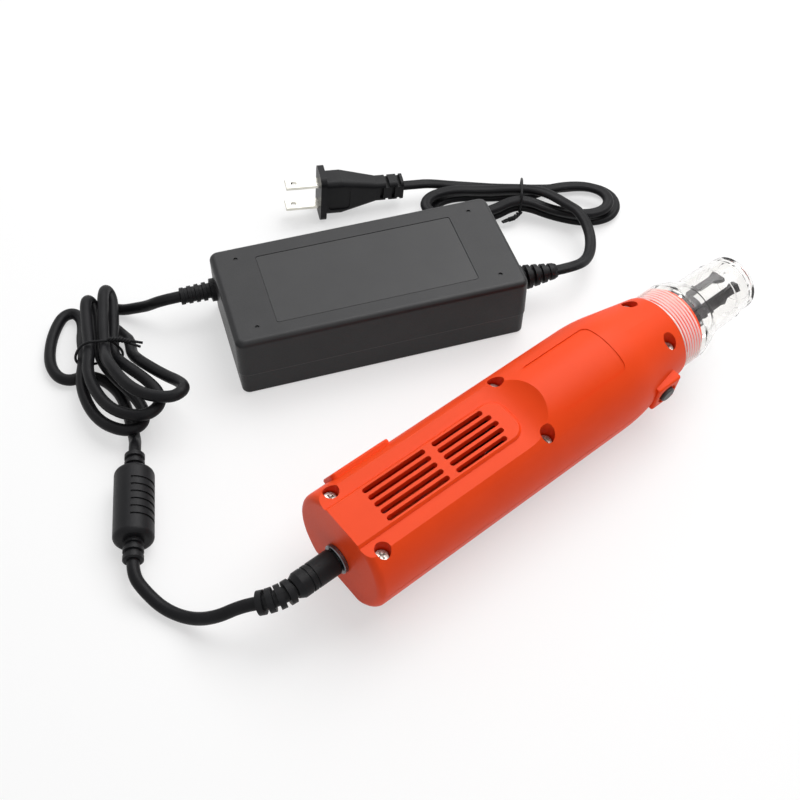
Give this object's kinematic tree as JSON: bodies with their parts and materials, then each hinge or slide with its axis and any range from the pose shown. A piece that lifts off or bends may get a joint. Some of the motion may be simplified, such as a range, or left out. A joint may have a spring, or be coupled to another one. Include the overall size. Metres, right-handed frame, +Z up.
{
  "type": "electric wire stripper",
  "caption": "Hand-held rotary stripper for enamelled wire: round motor grip with side button, spinning blade arms in a clear screw-on nose, and a power adapter on cords.",
  "frame": {"origin": "under the middle of the tool's length and width, on the table that the tool lies on", "axes": "+X along the tool towards its nose, +Y to its left, +Z up"},
  "size_m": [0.3114, 0.2237, 0.0495],
  "materials": {
    "shell": "fine texture",
    "screw_steel": "bright",
    "black_plastic": "satin",
    "button_black": "satin",
    "nickel": "bright",
    "zinc_steel": "satin",
    "magnet": "matte",
    "brass": "satin",
    "carbon": "matte",
    "bronze": "matte",
    "core_steel": "laminated",
    "copper": "satin",
    "bright_steel": "ground",
    "blade_steel": "blackened",
    "clear_cap": "clear gloss",
    "seal": "translucent",
    "seal_rubber": "matte",
    "wire": "satin",
    "cord_black": "satin",
    "tie": "satin",
    "adapter_black": "fine texture",
    "label": "satin",
    "board": "satin",
    "capacitor": "gloss",
    "sink": "satin"
  },
  "bodies": {
    "tool": {"housing_upper": "shell", "housing_lower": "shell", "housing_screws": "screw_steel", "dc_socket": "black_plastic", "dc_socket_nut": "nickel", "dc_socket_pin": "nickel", "motor_can": "zinc_steel", "motor_magnets": "magnet", "motor_end_bell": "black_plastic", "motor_terminals": "brass", "motor_brushes": "carbon", "motor_bushes": "bronze", "bearing_outer_race": "bright_steel", "switch_body": "black_plastic", "button_dome": "seal_rubber", "switch_terminals": "brass", "lead_wires": "wire", "dc_plug": "cord_black", "dc_plug_barrel": "nickel", "dc_cord_tool_end": "cord_black", "ferrite_moulding": "cord_black", "ferrite_core": "magnet", "dc_cord_hank": "cord_black", "dc_cord_adapter_end": "cord_black", "dc_twist_tie": "tie", "dc_relief": "cord_black", "adapter_top_cover": "adapter_black", "adapter_bottom_cover": "adapter_black", "adapter_label": "label", "adapter_board": "board", "adapter_transformer": "magnet", "adapter_capacitors": "capacitor", "adapter_heat_sinks": "sink", "ac_relief": "cord_black", "ac_cord_adapter_end": "cord_black", "ac_cord_hank": "cord_black", "ac_cord_plug_end": "cord_black", "ac_twist_tie": "tie", "mains_plug": "cord_black", "mains_blades": "nickel"},
    "rotor": {"motor_shaft": "bright_steel", "armature_core": "core_steel", "armature_windings": "copper", "commutator": "copper", "cooling_fan": "black_plastic", "spindle": "bright_steel", "spindle_grub_screw": "screw_steel", "bearing_inner_race": "bright_steel", "bearing_balls": "bright_steel", "blade_head": "blade_steel", "blade_pins": "bright_steel"},
    "arm_1": {"blade_arm_1": "blade_steel"},
    "arm_2": {"blade_arm_2": "blade_steel"},
    "arm_3": {"blade_arm_3": "blade_steel"},
    "button": {"button": "button_black"},
    "seal_ring": {"cap_seal_ring": "seal"},
    "cap": {"nose_cap": "clear_cap"}
  },
  "joints": [
    {"name": "rotor_spin", "type": "hinge", "parent": "tool", "child": "rotor", "pos_m": [0.00865, 0.0007, 0.02475], "axis": [1, 0, 0], "continuous": true},
    {"name": "blade_swing_1", "type": "hinge", "parent": "rotor", "child": "arm_1", "pos_m": [0.08165, 0.0071, 0.02733], "axis": [0, 0.3746, -0.9272], "range_deg": [-1.5, 3.5]},
    {"name": "blade_swing_2", "type": "hinge", "parent": "rotor", "child": "arm_2", "pos_m": [0.08165, -0.00474, 0.029], "axis": [0, 0.6157, 0.788], "range_deg": [-1.5, 3.5]},
    {"name": "blade_swing_3", "type": "hinge", "parent": "rotor", "child": "arm_3", "pos_m": [0.08165, -0.00026, 0.01792], "axis": [0, -0.9903, 0.1392], "range_deg": [-1.5, 3.5]},
    {"name": "button_press", "type": "slide", "parent": "tool", "child": "button", "axis": [0, 0.9903, 0.1392], "range_m": [0, 0.0016], "stiffness_N_per_m": 600, "springref_m": -0.0016, "deforming": ["button_dome"]},
    {"name": "cap_travel", "type": "slide", "parent": "tool", "child": "seal_ring", "axis": [1, 0, 0], "range_m": [0, 0.012]},
    {"name": "cap_turn", "type": "hinge", "parent": "seal_ring", "child": "cap", "pos_m": [0.08865, 0.0007, 0.02475], "axis": [1, 0, 0], "range_deg": [0, 2880]}
  ],
  "couplings": [
    {"joint": "blade_swing_2", "follows": "blade_swing_1", "ratio": 1},
    {"joint": "blade_swing_3", "follows": "blade_swing_1", "ratio": 1},
    {"joint": "cap_turn", "follows": "cap_travel", "rad_per_m": 4188.8}
  ]
}
